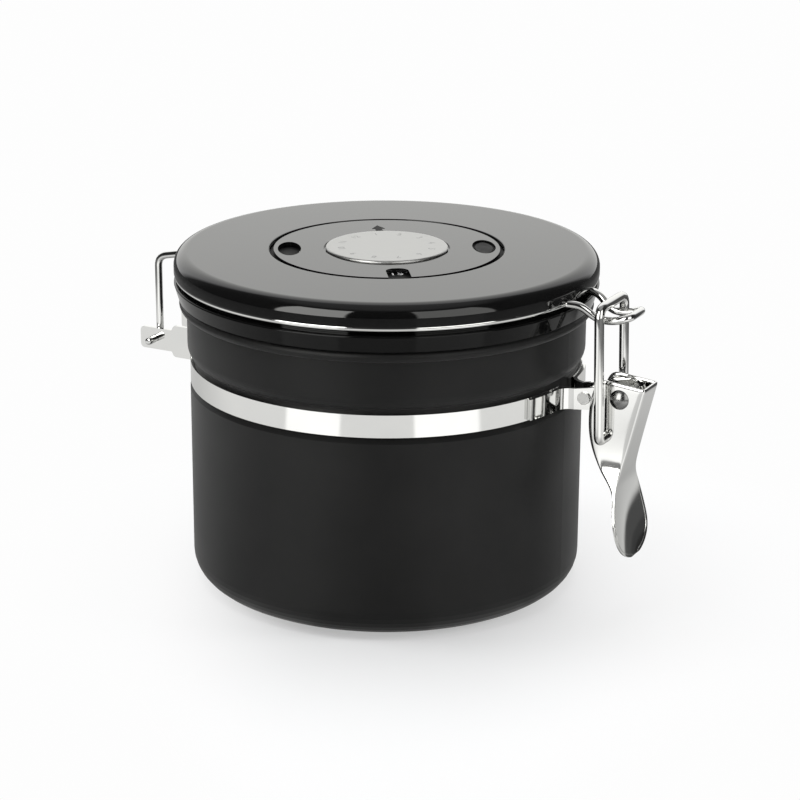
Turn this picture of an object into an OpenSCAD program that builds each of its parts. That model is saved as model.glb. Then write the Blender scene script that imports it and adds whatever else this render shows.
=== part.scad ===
// Airtight storage canister: a one-piece steel can, a two-shell lid held by a bent wire bail,
// a toggle latch on a neck band, and a day and month dial with a one-way vent under it.
// +Z is up, the origin is the middle of the base, the latch faces +X and the hinge -X.

/* [Can] */
// Outer diameter of the can
body_d = 124.6; // [110:0.2:150]
// Height of the rolled rim over the table
rim_h = 92; // [80:1:200]
// Thickness of the sheet steel
wall = 0.9; // [0.6:0.1:1.4]
// Radius of the rounded edge round the base
base_round = 8.5; // [4:0.5:14]
// Diameter of the flat middle of the base, inside the pressed groove
base_flat_d = 80; // [50:1:90]
// Width of the groove pressed into the base
base_groove_w = 7; // [4:0.5:10]
// Depth of the groove pressed into the base
base_groove_h = 1.2; // [0.6:0.1:2]

/* [Neck and rim] */
// Height of the collar, from the band groove to the top of the rim
collar_h = 19.4; // [16:0.2:26]
// How far the collar stands out past the can
collar_step = 0.7; // [0:0.1:2]
// Radius of the rounded lower edge of the collar
collar_round = 4.5; // [3:0.5:6]
// Depth of the band groove
groove_depth = 1.4; // [1:0.1:2]
// Thickness of the rolled rim
rim_d = 3.2; // [2.4:0.1:4]

/* [Neck band] */
// Width of the band
band_w = 7; // [5:0.5:9]
// Thickness of the band
band_t = 1.2; // [0.8:0.1:1.3]
// Angle of the split in the band
band_split = 9; // [6:1:12]
// Thickness of the brackets on the band
bracket_t = 1.2; // [0.8:0.1:1.6]

/* [Lid] */
// How far the lid cover stands out past the can
lid_over = 4.5; // [3:0.1:7]
// Height of the cover shell
cover_h = 5.5; // [5:0.1:9]
// Radius of the rounded top edge of the cover
cover_round = 4.4; // [3:0.1:5]
// Wall of the plastic shells
lid_wall = 2; // [1.6:0.1:2.4]
// Height of the gap between the two lid shells, where the wire lies
wire_gap = 3.8; // [3.4:0.1:5]
// Height of the skirt of the lower shell
skirt_h = 5.2; // [4:0.1:8]
// How much narrower the skirt is at its foot
skirt_taper = 1.5; // [0:0.1:2]
// How far the plug that dips into the mouth stays inside the mouth
plug_in = 4.6; // [4:0.1:8]
// Depth of the plug below the rim
plug_depth = 3.5; // [2:0.5:5]
// Number of screws that join the two shells
screw_count = 6; // [3:1:8]
// Diameter of the lid screws
screw_d = 2.8; // [2:0.1:3.4]
// Length of the lid screws under the head
screw_l = 6; // [4:0.5:7]

/* [Lid wire and bail] */
// Thickness of the lid wire
wire_d = 2.4; // [2.2:0.1:3]
// Thickness of the bail wire
bail_d = 3; // [2.4:0.1:3.4]
// How far the middle of the lid wire lies inside the edge of the cover
wire_in = 1.4; // [1.2:0.1:3]
// Half width of the nose that the bail hooks over
nose_half = 5.5; // [4:0.1:6]
// How far the nose reaches past the circle of the lid wire
nose_reach = 19.4; // [16:0.1:24]
// How far the tip of the nose turns up, so that the bail can't slip off
tip_rise = 1.7; // [0.5:0.1:2]
// Half width of the bail
bail_half = 9.6; // [9:0.1:12]
// Free height of the bail crossbar over the wire of the nose
hook_gap = 1.7; // [1.4:0.1:3]

/* [Latch] */
// Distance from the can to the lever pivot
pivot_out = 20.1; // [18:0.1:24]
// Distance from the can to the rivet between the latch cheeks
rivet_out = 8; // [7:0.1:9]
// Height of the lever pivot over the middle of the band
pivot_up = 2.5; // [0:0.1:4]
// Diameter of the lever pin
pin_d = 3; // [2.4:0.1:4]
// How far the bail holes lie below the lever pivot
bail_drop = 13; // [10:0.5:16]
// How far the bail holes lie inside the lever pivot
bail_inset = 4.6; // [3:0.1:6]
// Outer width of the lever
lever_w = 11; // [9:0.5:12]
// Length of the lever from its pivot down to its neck
lever_l = 31; // [28:0.5:36]
// How far the top edge of the lever stands out past its pivot
lever_out = 8.3; // [6:0.1:10]
// How far the top edge of the lever stands over its pivot
lever_up = 4.2; // [3:0.1:6]
// How far the lever reaches back behind its pivot
lever_back = 10.2; // [8:0.1:12]
// Thickness of the lever sheet
lever_t = 1; // [0.8:0.1:1.2]
// Width of the lever where the thumb paddle begins
waist_w = 14; // [12:0.5:16]
// Length of the thumb paddle
paddle_l = 26.5; // [20:0.5:36]
// Width of the thumb paddle
paddle_w = 24.6; // [18:0.2:28]
// Radius of the dish of the thumb paddle
dish_r = 70; // [45:1:120]
// Tilt of the thumb paddle away from the can
paddle_tilt = 9.5; // [0:0.5:14]

/* [Hinge] */
// Distance from the can to the hinge pin line
hinge_out = 16.8; // [14:0.1:24]
// Half distance between the middles of the hinge ears
hinge_half = 12.4; // [9:0.1:16]
// Height of the hinge pin line over the middle of the band
hinge_up = 0.6; // [0:0.1:1]

/* [Dial] */
// Diameter of the day ring
ring_d = 71; // [60:0.1:80]
// Width of the open groove round the day ring
dial_gap = 1.5; // [0.4:0.1:2]
// Thickness of the day ring
ring_t = 1.2; // [1:0.1:2]
// Diameter of the month disc
disc_d = 38.4; // [30:0.1:44]
// Thickness of the month disc
disc_h = 1; // [0.8:0.1:2]
// How deep the month disc sits in the day ring
disc_sink = 0.5; // [0:0.1:0.7]
// Width of the bevel round the month disc
disc_bevel = 0.45; // [0.1:0.05:0.6]
// Way that the day ring is turned
dial_turn = 34.5; // [0:0.5:360]
// Width of a finger slot across the ring
slot_w = 7.3; // [5:0.1:9]
// Length of a finger slot round the ring
slot_l = 16.5; // [10:0.5:20]
// Angle that the finger slots stand off from the cross line of the window
slot_shift = 3.5; // [0:0.5:10]
// Width of the day window
window_w = 7; // [5:0.1:10]
// Length of the day window
window_l = 10.5; // [8:0.1:13]

/* [Vent] */
// Diameter of the vent flap
flap_d = 16; // [12:0.5:20]
// Lift of the vent flap
flap_lift = 0.8; // [0.4:0.1:1.5]

/* [Fits] */
// Gap between a turning pin and its hole
pin_fit = 0.06; // [0.02:0.01:0.1]
// Gap between pieces that are clamped or laid on each other
seat_fit = 0.1; // [0.05:0.05:0.2]
// Gap between pieces that pass each other
run_gap = 0.3; // [0.3:0.05:0.5]

/* [Hidden] */
$fn = 96;

body_r = body_d / 2;
collar_r = body_r + collar_step;
groove_r = body_r - groove_depth;
groove_top = rim_h - collar_h;
groove_w = band_w + 4 * run_gap;
groove_bottom = groove_top - groove_w;
band_z = groove_top - groove_w / 2;
band_in = groove_r + seat_fit;
band_out = band_in + band_t;
rim_r = collar_r - wall + rim_d / 2;
rim_outer = rim_r + rim_d / 2;
mouth_r = collar_r - wall;

lid_r = body_r + lid_over;
ring_r = lid_r - wire_in;
plug_r = mouth_r - plug_in;
skirt_bottom = rim_h + run_gap;
base_top = skirt_bottom + skirt_h;
cover_bottom = base_top + wire_gap;
cover_top = cover_bottom + cover_h;
ring_z = base_top + 2.2;
waist_r = ring_r - wire_d / 2 - run_gap;
deck_t = 1.4;
plug_bottom = rim_h - plug_depth;

pivot_x = body_r + pivot_out;
pivot_z = band_z + pivot_up;
hole_x = pivot_x - bail_inset;
hole_z = pivot_z - bail_drop;
hinge_x = -(body_r + hinge_out);
hinge_z = band_z + hinge_up;
foot_d = wire_d + 0.1;
bail_foot_d = bail_d + 0.1;

nose_z = rim_h + 3.2;
tip_x = ring_r + nose_reach;
nose_x = tip_x - 7.6;
bar_x = hole_x - 1;
bar_z = nose_z + (wire_d + bail_d) / 2 + hook_gap;

ear_half = lever_w / 2 - lever_t - 0.4 - bracket_t / 2;
lobe_r = 4.2;
rivet_x = body_r + rivet_out;
rivet_z = band_z + 0.8;
rivet_d = 2.4;

ring_r_out = ring_d / 2;
pocket_r = ring_r_out + dial_gap;
plate_t = 0.8;
pocket_z = cover_top - ring_t - run_gap - plate_t;
web_t = 1.8;
hub_r = 7;
stem_r = 4;
slot_r = ring_r_out - slot_w / 2 - ring_t - seat_fit;
disc_bottom = cover_top + run_gap - disc_sink;
disc_top = disc_bottom + disc_h - 0.1;

well_floor = rim_h + 1.4;
well_r = 15;
vent_seat = 11;
flap_z = well_floor + run_gap / 3;
flap_t = 0.7;
post_r = 1.5;

// ---- outlines and paths ----

function unit(v) = v / norm(v);

function arc(x, y, r, a0, a1, n = 8) =
    [for (i = [0:n]) let (a = a0 + (a1 - a0) * i / n) [x + r * cos(a), y + r * sin(a)]];

function reversed(list) = [for (i = [len(list) - 1:-1:0]) list[i]];

// Points of a soft bend of size r at corner p, between neighbours a and b. Where a side is
// short, the bend takes less than half of it, so that two bends never meet.
function bend(a, p, b, r, n = 5) =
    let (m = min(r, norm(a - p) * 0.48, norm(b - p) * 0.48),
         s = p + unit(a - p) * m, e = p + unit(b - p) * m)
    [for (i = [0:n]) let (t = i / n) s * pow(1 - t, 2) + p * 2 * t * (1 - t) + e * pow(t, 2)];

// A closed outline of [x, y, r] corners with each corner softened by r
function soft_loop(c) = let (m = len(c), p = [for (q = c) [q[0], q[1]]])
    [for (i = [0:m - 1])
        each (c[i][2] > 0 ? bend(p[(i + m - 1) % m], p[i], p[(i + 1) % m], c[i][2]) : [p[i]])];

// An open path of [point, r] corners with each inner corner softened by r
function soft_path(c) = concat([c[0][0]],
    [for (i = [1:len(c) - 2]) each bend(c[i - 1][0], c[i][0], c[i + 1][0], c[i][1])],
    [c[len(c) - 1][0]]);

function mirror_y(path) = [for (p = path) [p[0], -p[1], p[2]]];

// A round wire along a path, as one closed skin of 12 flat sides
module wire(path, d, sides = 12) {
    m = len(path);
    tangent = [for (i = [0:m - 1]) unit(path[min(i + 1, m - 1)] - path[max(i - 1, 0)])];
    start = unit(cross(tangent[0], abs(tangent[0][2]) < 0.9 ? [0, 0, 1] : [1, 0, 0]));
    across = [for (i = 0, n = start; i < m;
                   n = unit(n - tangent[min(i + 1, m - 1)] * (n * tangent[min(i + 1, m - 1)])),
                   i = i + 1) n];
    points = [for (i = [0:m - 1]) let (n = across[i], b = cross(tangent[i], n))
        for (k = [0:sides - 1]) let (a = 360 * k / sides)
            path[i] + (n * cos(a) + b * sin(a)) * d / 2];
    skin = [for (i = [0:m - 2]) for (k = [0:sides - 1])
        let (a = i * sides + k, b = i * sides + (k + 1) % sides)
        each [[a, a + sides, b], [b, a + sides, b + sides]]];
    near_end = [[for (k = [0:sides - 1]) k]];
    far_end = [[for (k = [sides - 1:-1:0]) (m - 1) * sides + k]];
    polyhedron(points, concat(skin, near_end, far_end), convexity = 6);
}

// A flat outline in x and z, thickened evenly about y
module upright(outline, y, t) {
    translate([0, y + t / 2, 0])
        rotate([90, 0, 0])
            linear_extrude(t) polygon(outline);
}

// A round bar along y between y0 and y1
module bar_y(x, z, r, y0, y1) {
    translate([x, y1, z]) rotate([90, 0, 0]) cylinder(r = r, h = y1 - y0, $fn = 48);
}

// ---- can ----

// Outline of the sheet, moved inward by e, from the middle of the base to the rim
function sheet(e) =
    let (start = -acos((groove_r - collar_r + collar_round - e) / (collar_round - e)))
    concat(
        [[0, e],
         [base_flat_d / 2, e],
         [base_flat_d / 2 + base_groove_w * 0.25, base_groove_h + e],
         [base_flat_d / 2 + base_groove_w * 0.75, base_groove_h + e],
         [base_flat_d / 2 + base_groove_w, e]],
        arc(body_r - base_round, base_round, base_round - e, -90, 0),
        [[body_r - e, groove_bottom - groove_depth],
         [groove_r - e, groove_bottom]],
        arc(collar_r - collar_round, groove_top + collar_round, collar_round - e, start, 0, 6),
        [[collar_r - e, rim_h - rim_d / 2]]);

module canister_body() {
    color([0.11, 0.11, 0.11])
        rotate_extrude($fn = 128) {
            polygon(concat(sheet(0), reversed(sheet(wall))));
            translate([rim_r, rim_h - rim_d / 2]) circle(d = rim_d, $fn = 40);
        }
}

// ---- neck band, hinge bracket and latch cheeks ----

module neck_band() {
    color([0.82, 0.82, 0.8])
        translate([0, 0, band_z - band_w / 2])
            rotate_extrude(angle = 360 - band_split, start = band_split / 2, $fn = 128)
                translate([band_in, 0]) square([band_t, band_w]);
}

// A strap that lies on the band from from_angle, turns outward by bend_r and meets an ear at
// y = ear_y. side is 1 where the strap lies outside the ear and -1 where it lies inside.
module band_strap(ear_y, bend_r, from_angle, side, h) {
    lie_r = band_out + seat_fit / 2 + bracket_t / 2;
    turn_y = ear_y + side * bend_r;
    turn_x = sqrt(pow(lie_r + bend_r, 2) - pow(turn_y, 2));
    meet = asin(turn_y / (lie_r + bend_r));
    // the strap runs on by a fifth of a degree, so that it and the turn are one piece
    low = min(meet, from_angle) - (meet < from_angle ? 0.2 : 0);
    translate([0, 0, band_z - h / 2]) {
        rotate_extrude(angle = abs(meet - from_angle) + 0.2, start = low, $fn = 128)
            translate([lie_r - bracket_t / 2, 0]) square([bracket_t, h]);
        translate([turn_x, turn_y, 0])
            rotate_extrude(angle = 90 - side * meet, start = side > 0 ? 180 + meet : 90, $fn = 48)
                translate([bend_r - bracket_t / 2, 0]) square([bracket_t, h]);
    }
}

function turn_x_of(ear_y, bend_r, side) =
    sqrt(pow(band_out + seat_fit / 2 + bracket_t / 2 + bend_r, 2) - pow(ear_y + side * bend_r, 2));

module hinge_bracket() {
    turn = 2.2;
    root_x = turn_x_of(hinge_half, turn, -1) - 0.3;
    root_h = band_w + 3.6;
    ear = soft_loop([
        [-root_x, hinge_z - root_h / 2, 0],
        [-(body_r + 9.6), hinge_z - root_h / 2, 1],
        [-(body_r + 10.4), hinge_z - band_w / 2 - 0.1, 0.3],
        [hinge_x - 5.6, hinge_z - band_w / 2 - 0.1, 1.6],
        [hinge_x - 5.6, hinge_z + band_w / 2 + 0.1, 1.6],
        [-(body_r + 10.4), hinge_z + band_w / 2 + 0.1, 0.3],
        [-(body_r + 9.6), hinge_z + root_h / 2, 1],
        [-root_x, hinge_z + root_h / 2, 0]]);
    color([0.8, 0.8, 0.78])
        difference() {
            union() {
                for (s = [0, 1])
                    mirror([0, s, 0]) {
                        mirror([1, 0, 0]) band_strap(hinge_half, turn, 0, -1, band_w - 0.4);
                        upright(ear, hinge_half, bracket_t);
                    }
            }
            bar_y(hinge_x, hinge_z, foot_d / 2 + pin_fit, -hinge_half - 2, hinge_half + 2);
        }
}

module latch_cheeks() {
    turn = 5;
    root_x = turn_x_of(ear_half, turn, 1) - 0.3;
    ear = concat(
        [[root_x, band_z - band_w / 2 + 0.2],
         [root_x, band_z + band_w / 2 - 0.2],
         [body_r + 9, band_z + band_w / 2 + 0.6]],
        arc(pivot_x, pivot_z, lobe_r, 108, -100, 14));
    color([0.8, 0.8, 0.78])
        for (s = [0, 1])
            mirror([0, s, 0])
                difference() {
                    union() {
                        band_strap(ear_half, turn, 19, 1, band_w - 0.4);
                        upright(ear, ear_half, bracket_t);
                    }
                    bar_y(pivot_x, pivot_z, pin_d / 2 + pin_fit / 2, 0, ear_half + 2);
                    bar_y(rivet_x, rivet_z, rivet_d / 2 + seat_fit / 2, 0, ear_half + 2);
                }
}

// The rivet that draws the two cheeks together, with its spacer between them
module clamp_rivet() {
    inner = ear_half - bracket_t / 2;
    outer = ear_half + bracket_t / 2;
    color([0.85, 0.85, 0.83]) {
        bar_y(rivet_x, rivet_z, rivet_d / 2 + 0.7, -inner, inner);
        bar_y(rivet_x, rivet_z, rivet_d / 2, -outer - 0.1, outer + 0.1);
        for (s = [-1, 1])
            translate([0, s * (outer + 0.35), 0])
                bar_y(rivet_x, rivet_z, 2, -0.35, 0.35);
    }
}

// ---- latch lever and bail ----

module lever_pin() {
    head_y = lever_w / 2 + 0.15;
    head_r = 3.05;
    head_h = 1.4;
    dome_r = (pow(head_r, 2) + pow(head_h, 2)) / (2 * head_h);
    color([0.72, 0.72, 0.7]) {
        bar_y(pivot_x, pivot_z, pin_d / 2, -head_y - 0.1, head_y + 0.1);
        for (s = [-1, 1])
            intersection() {
                translate([pivot_x, s * (head_y + head_h - dome_r), pivot_z])
                    sphere(r = dome_r, $fn = 64);
                bar_y(pivot_x, pivot_z, head_r + 1,
                      s > 0 ? head_y : -head_y - head_h - 1,
                      s > 0 ? head_y + head_h + 1 : -head_y);
            }
    }
}

// Front line of the lever, from its top edge to its neck
front_top = [pivot_x + lever_out, pivot_z + lever_up];
front_low = [pivot_x + lever_out * 0.14, pivot_z - lever_l * 0.806];
neck_low = [pivot_x + lever_out * 0.12, pivot_z - lever_l];

module lever() {
    side = soft_loop([
        [pivot_x - lever_back * 0.6, pivot_z + lever_up * 1.36, 1.4],
        [front_top[0], front_top[1], 0.8],
        [front_low[0], front_low[1], 0],
        [neck_low[0], neck_low[1], 0.8],
        [pivot_x - lever_back * 0.186, pivot_z - lever_l * 1.013, 0.8],
        [pivot_x - lever_back * 0.45, pivot_z - lever_l * 0.774, 3],
        [hole_x - bail_d * 1.13, pivot_z - lever_l * 0.606, 3],
        [hole_x - bail_d * 1.8, hole_z + bail_d / 2, 5],
        [pivot_x - lever_back, pivot_z - lever_l * 0.177, 5],
        [pivot_x - lever_back * 0.88, pivot_z + lever_up * 0.38, 2]]);
    front_l = norm(front_top - front_low);
    lean = atan((front_top[0] - front_low[0]) / (front_top[1] - front_low[1]));
    top_half = lever_w / 2 - 0.1;
    color([0.83, 0.83, 0.81])
        difference() {
            union() {
                for (s = [-1, 1])
                    upright(side, s * (lever_w - lever_t) / 2, lever_t);
                // the front web, which widens towards the paddle
                translate([front_low[0], 0, front_low[1]])
                    rotate([0, lean, 0])
                        translate([-lever_t, 0, 0])
                            rotate([90, 0, 90])
                                linear_extrude(lever_t)
                                    polygon([[-waist_w / 2, 0], [waist_w / 2, 0],
                                             [top_half, front_l - 0.1], [-top_half, front_l - 0.1]]);
                paddle();
            }
            bar_y(pivot_x, pivot_z, pin_d / 2 + pin_fit, -lever_w, lever_w);
            bar_y(hole_x, hole_z, bail_foot_d / 2 + pin_fit, -lever_w, lever_w);
        }
}

// Half outline of the thumb paddle: down from its waist, then round its broad end
function paddle_side() = let (l = paddle_l, wide = l * 0.64, w = waist_w / 2, h = paddle_w / 2)
    concat([[-l * 0.08, w]],
           [for (i = [0:9]) let (t = i / 10) [wide * t, w + (h - w) * (1 - pow(1 - t, 1.8))]],
           [for (i = [0:11]) let (a = 90 * i / 12) [wide + (l - wide) * sin(a), h * cos(a)]]);

// The dished thumb paddle: a slice of a hollow ball inside an egg-shaped prism
module paddle() {
    half = paddle_side();
    outline = concat(half, [[paddle_l, 0]], [for (i = [len(half) - 1:-1:0]) [half[i][0], -half[i][1]]]);
    mid = paddle_l / 2;
    translate([front_low[0] - lever_t / 2, 0, front_low[1]])
        rotate([0, 90 - paddle_tilt, 0])
            intersection() {
                translate([0, 0, -8]) linear_extrude(20) polygon(outline);
                translate([mid, 0, sqrt(pow(dish_r, 2) - pow(mid, 2))])
                    rotate([90, 0, 0])
                        difference() {
                            sphere(r = dish_r + lever_t, $fn = 128);
                            sphere(r = dish_r, $fn = 128);
                        }
            }
}

module bail() {
    foot_y = lever_w / 2 - lever_t - 0.9;
    half = [[[hole_x, foot_y + 2, hole_z], 0],
            [[hole_x, bail_half, hole_z], 2.4],
            [[bar_x, bail_half, bar_z], 3.4]];
    path = soft_path(concat(half, [for (k = [2:-1:0])
        [[half[k][0][0], -half[k][0][1], half[k][0][2]], half[k][1]]]));
    color([0.85, 0.85, 0.83]) {
        wire(path, bail_d);
        for (s = [-1, 1])
            bar_y(hole_x, hole_z, bail_foot_d / 2,
                  s > 0 ? foot_y : -bail_half + 2.2,
                  s > 0 ? bail_half - 2.2 : -foot_y);
    }
}

// ---- lid ----

// The lid wire: two hinge feet, two legs, two half circles and the nose
module lid_wire() {
    leg_y = hinge_half - 2.6;
    end_y = hinge_half + 5;
    leave = asin(leg_y / ring_r);
    nose_root = 7.7;
    run_x = -(ring_r + 4);
    corners = [
        [[hinge_x, hinge_half + 1.2, hinge_z], 0],
        [[hinge_x, leg_y, hinge_z], 2.2],
        [[hinge_x, leg_y, ring_z - 3.3], 3.4],
        [[run_x, leg_y, ring_z - 1.3], 2],
        [[-ring_r * cos(leave), leg_y, ring_z], 1.8]];
    sweep_start = 180 - leave - 3;
    circle_part = [for (i = [0:36])
        let (a = sweep_start + (nose_root + 2.5 - sweep_start) * i / 36)
        [ring_r * cos(a), ring_r * sin(a), ring_z]];
    nose = [
        [circle_part[36], 0],
        [[ring_r * cos(nose_root), ring_r * sin(nose_root), ring_z], 1.8],
        [[ring_r + 4, nose_half + 1.8, ring_z - 0.4], 2],
        [[nose_x - 2.6, nose_half, nose_z], 2.6],
        [[nose_x + 2.6, nose_half, nose_z], 2.4],
        [[tip_x, nose_half, nose_z + tip_rise], 3.6]];
    start_part = soft_path(concat(corners, [[circle_part[0], 0]]));
    nose_part = soft_path(concat(nose, [[[tip_x, 0, nose_z + tip_rise], 0]]));
    half = concat([for (i = [0:len(start_part) - 2]) start_part[i]],
                  circle_part,
                  [for (i = [1:len(nose_part) - 2]) nose_part[i]]);
    path = concat(half, reversed(mirror_y(half)));
    color([0.85, 0.85, 0.83]) {
        wire(path, wire_d);
        for (s = [-1, 1])
            bar_y(hinge_x, hinge_z, foot_d / 2,
                  s > 0 ? leg_y + 2 : -end_y, s > 0 ? end_y : -leg_y - 2);
    }
}

module lid_cover() {
    boss_r = screw_d / 2 + lid_wall;
    color([0.07, 0.07, 0.07])
        difference() {
            union() {
                rotate_extrude($fn = 128)
                    polygon(concat(
                        [[stem_r + 8, cover_top - ring_t - run_gap - plate_t - web_t],
                         [stem_r + 8, cover_top],
                         [lid_r - cover_round, cover_top]],
                        arc(lid_r - cover_round, cover_top - cover_round, cover_round, 84, 6, 7),
                        [[lid_r, cover_bottom + 0.6],
                         [lid_r - 0.6, cover_bottom],
                         [waist_r, cover_bottom],
                         [waist_r, base_top + 0.05],
                         [waist_r - lid_wall, base_top + 0.05],
                         [waist_r - lid_wall, cover_top - lid_wall],
                         [pocket_r + lid_wall, cover_top - lid_wall],
                         [pocket_r + lid_wall, pocket_z - web_t]]));
                translate([0, 0, pocket_z - web_t])
                    cylinder(r = stem_r + 9, h = web_t);
                for (k = [0:screw_count - 1])
                    rotate(360 * (k + 0.5) / screw_count)
                        translate([screw_r, 0, base_top + 0.05])
                            cylinder(r = boss_r, h = cover_top - base_top - 1, $fn = 32);
            }
            translate([0, 0, pocket_z]) cylinder(r = pocket_r, h = 10);
            translate([0, 0, pocket_z - 10]) cylinder(r = hub_r + pin_fit, h = 20, $fn = 64);
            for (k = [0:screw_count - 1])
                rotate(360 * (k + 0.5) / screw_count)
                    translate([screw_r, 0, base_top - 1])
                        cylinder(r = screw_hole_r, h = screw_l + 0.4, $fn = 32);
        }
}

screw_r = (pocket_r + plug_r) / 2;
screw_shank_r = screw_d / 2;
screw_hole_r = screw_shank_r + seat_fit / 2;
screw_head_h = screw_d * 0.57;

module lid_base() {
    deck_bottom = base_top - deck_t;
    skirt_in = rim_outer - 0.2 - 1.0;
    color([0.05, 0.05, 0.05])
        difference() {
            rotate_extrude($fn = 128)
                polygon([
                    [vent_seat + seat_fit, well_floor - deck_t],
                    [well_r + deck_t, well_floor - deck_t],
                    [well_r + deck_t, deck_bottom],
                    [plug_r - lid_wall, deck_bottom],
                    [plug_r - lid_wall, plug_bottom],
                    [plug_r - 0.5, plug_bottom],
                    [plug_r, plug_bottom + 0.8],
                    [plug_r, deck_bottom],
                    [skirt_in, deck_bottom],
                    [skirt_in, skirt_bottom],
                    [lid_r - skirt_taper - 0.2, skirt_bottom],
                    [lid_r - skirt_taper + 0.1, skirt_bottom + 0.4],
                    [lid_r + 0.1, base_top - 0.5],
                    [lid_r - 0.3, base_top],
                    [well_r, base_top],
                    [well_r, well_floor],
                    [vent_seat + seat_fit, well_floor]]);
            for (k = [0:screw_count - 1])
                rotate(360 * (k + 0.5) / screw_count)
                    translate([screw_r, 0, deck_bottom - 1])
                        cylinder(r = screw_shank_r + 0.2, h = deck_t + 2, $fn = 32);
        }
}

// A soft ring under the deck: a flat back with two sealing lips that rest on the rim
module gasket() {
    top = base_top - deck_t;
    inside = plug_r + run_gap;
    outside = rim_outer - 0.2 - 1.0 - run_gap;
    foot = rim_h + run_gap;
    middle = (inside + outside) / 2;
    color([0.72, 0.72, 0.7])
        rotate_extrude($fn = 128)
            polygon([[inside, foot + 0.9], [inside + 0.9, foot], [middle - 0.9, foot + 0.6],
                     [middle, foot + 1.2], [middle + 0.9, foot + 0.6],
                     [outside - 0.9, foot], [outside, foot + 0.9],
                     [outside, top], [inside, top]]);
}

module lid_screws() {
    head_top = base_top - deck_t;
    color([0.6, 0.6, 0.6])
        for (k = [0:screw_count - 1])
            rotate(360 * (k + 0.5) / screw_count)
                translate([screw_r, 0, 0])
                    difference() {
                        union() {
                            translate([0, 0, head_top - screw_head_h])
                                cylinder(r = screw_d * 0.95, h = screw_head_h, $fn = 32);
                            translate([0, 0, head_top - 0.1])
                                cylinder(r = screw_shank_r, h = screw_l, $fn = 32);
                        }
                        for (a = [0, 90])
                            rotate(a)
                                translate([-screw_d * 0.57, -screw_d / 8, head_top - screw_head_h * 1.25])
                                    cube([screw_d * 1.14, screw_d / 4, screw_head_h * 0.7]);
                    }
}

// ---- dial ----

// The plate with the numbers of the days, under the ring
module day_plate() {
    color([0.06, 0.06, 0.06])
        translate([0, 0, pocket_z])
            difference() {
                cylinder(r = pocket_r - run_gap, h = plate_t, $fn = 128);
                translate([0, 0, -1]) cylinder(r = hub_r + 1, h = plate_t + 2, $fn = 64);
            }
}

// A slot that follows the ring, drawn in plan, grown by e
module ring_slot(r, w, l, e = 0) {
    reach = (l - w) / 2;
    for (s = [-1, 1]) translate([r, s * reach]) circle(d = w + 2 * e, $fn = 40);
    translate([r - w / 2 - e, -reach]) square([w + 2 * e, 2 * reach]);
}

module day_ring() {
    top = cover_top;
    window_in = ring_r_out - window_l;
    color([0.08, 0.08, 0.08])
        rotate(dial_turn)
            difference() {
                union() {
                    translate([0, 0, top - ring_t])
                        linear_extrude(ring_t)
                            difference() {
                                circle(r = ring_r_out, $fn = 128);
                                circle(r = stem_r + pin_fit, $fn = 64);
                                for (a = [0, 180])
                                    rotate(a - slot_shift) ring_slot(slot_r, slot_w, slot_l);
                                rotate(-90)
                                    translate([window_in + 2, -window_w / 2])
                                        square([window_l + 2, window_w]);
                                rotate(-90)
                                    translate([window_in, -window_w / 2 + 2])
                                        square([4, window_w - 4]);
                                for (s = [-1, 1])
                                    rotate(-90)
                                        translate([window_in + 2, s * (window_w / 2 - 2)])
                                            circle(r = 2, $fn = 32);
                            }
                    difference() {
                        translate([0, 0, hub_bottom])
                            cylinder(r = hub_r, h = top - ring_t - hub_bottom + 0.2, $fn = 64);
                        translate([0, 0, hub_bottom - 1])
                            cylinder(r = stem_r + pin_fit, h = 10, $fn = 64);
                    }
                    snap_lip();
                }
                // the shallow seat of the month disc
                translate([0, 0, top - disc_sink])
                    cylinder(r = disc_d / 2 + run_gap, h = 2, $fn = 128);
            }
}

hub_bottom = pocket_z - web_t - 1.6;

// The lip under the web that keeps the hub of the ring in its bore
module snap_lip() {
    rotate_extrude($fn = 64)
        polygon([[hub_r - 1, hub_bottom], [hub_r + 0.3, hub_bottom],
                 [hub_r + 0.8, pocket_z - web_t - run_gap - 0.3],
                 [hub_r + 0.8, pocket_z - web_t - run_gap],
                 [hub_r - 1, pocket_z - web_t - run_gap]]);
}

// The grey pad in the second finger slot
module finger_pad() {
    color([0.3, 0.3, 0.3])
        rotate(dial_turn - slot_shift)
            translate([0, 0, cover_top - ring_t]) {
                linear_extrude(0.5) ring_slot(slot_r, slot_w, slot_l, -seat_fit);
                translate([0, 0, 0.4]) linear_extrude(0.4) ring_slot(slot_r, slot_w - 2.8, slot_l - 6);
            }
}

module month_disc() {
    color([0.84, 0.84, 0.82]) {
        rotate_extrude($fn = 128)
            polygon([[0, disc_bottom], [disc_d / 2, disc_bottom],
                     [disc_d / 2, disc_top - disc_bevel],
                     [disc_d / 2 - disc_bevel, disc_top], [0, disc_top]]);
        difference() {
            translate([0, 0, hub_bottom - run_gap])
                cylinder(r = stem_r, h = disc_bottom - hub_bottom + run_gap + 0.2, $fn = 64);
            translate([0, 0, hub_bottom - run_gap - 1])
                cylinder(r = screw_hole_r, h = 5, $fn = 32);
        }
    }
}

module dial_washer() {
    color([0.7, 0.7, 0.68])
        translate([0, 0, hub_bottom - run_gap - 0.6])
            difference() {
                cylinder(r = hub_r - 0.6, h = 0.6, $fn = 64);
                translate([0, 0, -1]) cylinder(r = screw_shank_r + 0.15, h = 3, $fn = 32);
            }
}

module dial_screw() {
    under = hub_bottom - run_gap - 0.6;
    color([0.6, 0.6, 0.6])
        difference() {
            union() {
                translate([0, 0, under - 1.3]) cylinder(r = 2.7, h = 1.3, $fn = 32);
                translate([0, 0, under - 0.1]) cylinder(r = screw_shank_r, h = 4, $fn = 32);
            }
            for (a = [0, 90])
                rotate(a) translate([-1.6, -0.35, under - 2]) cube([3.2, 0.7, 1.4]);
        }
}

// ---- one-way vent ----

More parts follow.
